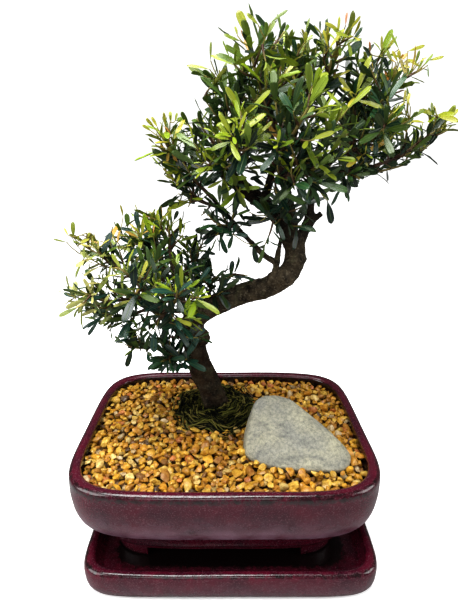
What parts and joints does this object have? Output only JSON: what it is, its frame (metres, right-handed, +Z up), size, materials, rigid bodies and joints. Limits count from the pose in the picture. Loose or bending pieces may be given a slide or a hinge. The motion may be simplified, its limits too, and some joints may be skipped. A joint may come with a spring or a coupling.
{
  "type": "bonsai tree in a glazed pot with a drip tray",
  "caption": "Small-leaved broadleaf bonsai with an S-curved trunk and two leafy heads, in a glazed rounded-rectangular pot of gravel with a stone, on a matching drip tray.",
  "frame": {"origin": "centre of the drip tray's flat underside", "axes": "+Z up; +X to the right seen from the front, towards the stone; -Y is the front, -Z is the direction the base faces"},
  "size_m": [0.2601, 0.1745, 0.3468],
  "materials": {
    "pot_glaze": "gloss",
    "tray_glaze": "gloss",
    "soil": "crumbly, matte",
    "gravel": "polished pebbles",
    "moss": "fibrous, matte",
    "stone": "smooth, matte",
    "bark": "rough",
    "leaf": "semi-gloss",
    "young_leaf": "semi-gloss"
  },
  "bodies": {
    "root": {"drip_tray": "tray_glaze", "pot": "pot_glaze", "soil": "soil", "gravel": "gravel", "moss": "moss", "stone": "stone", "trunk": "bark", "spray_far_left": "leaf", "spray_left_low": "leaf", "spray_under": "leaf", "spray_left_high": "leaf", "spray_top_left": "leaf", "spray_top_mid_left": "leaf", "spray_top_mid": "leaf", "spray_top_right": "leaf", "spray_right_top": "leaf", "spray_right_high": "leaf", "spray_right_mid": "leaf", "spray_far_right": "leaf", "spray_right_low": "leaf", "spray_right_droop": "leaf", "spray_front_bright": "leaf", "spray_front_right": "leaf", "spray_front_left": "leaf", "spray_front_low_left": "leaf", "spray_front_mid": "leaf", "spray_front_low": "leaf", "spray_back_left": "leaf", "spray_back_top": "leaf", "spray_back_right": "leaf", "spray_left_mid": "leaf", "spray_low_left_up": "leaf", "spray_low_left": "leaf", "spray_low_left_droop": "leaf", "spray_low_top_left": "leaf", "spray_low_top": "leaf", "spray_low_top_right": "leaf", "spray_low_front": "leaf", "spray_low_front_right": "leaf", "spray_low_hanging": "leaf", "spray_low_right_twig": "leaf", "spray_low_back": "leaf", "spray_low_trunk": "leaf", "shoot_far_left": "young_leaf", "shoot_top_left": "young_leaf", "shoot_top_mid": "young_leaf", "shoot_top_right": "young_leaf", "shoot_right_high": "young_leaf", "shoot_right_mid": "young_leaf", "shoot_far_right": "young_leaf", "shoot_front_bright": "young_leaf", "shoot_front_right": "young_leaf", "shoot_front_left": "young_leaf", "shoot_front_low_left": "young_leaf", "shoot_low_left_up": "young_leaf", "shoot_low_left": "young_leaf", "shoot_low_top_left": "young_leaf", "shoot_low_top": "young_leaf", "shoot_low_front": "young_leaf", "shoot_low_front_right": "young_leaf"}
  },
  "joints": []
}
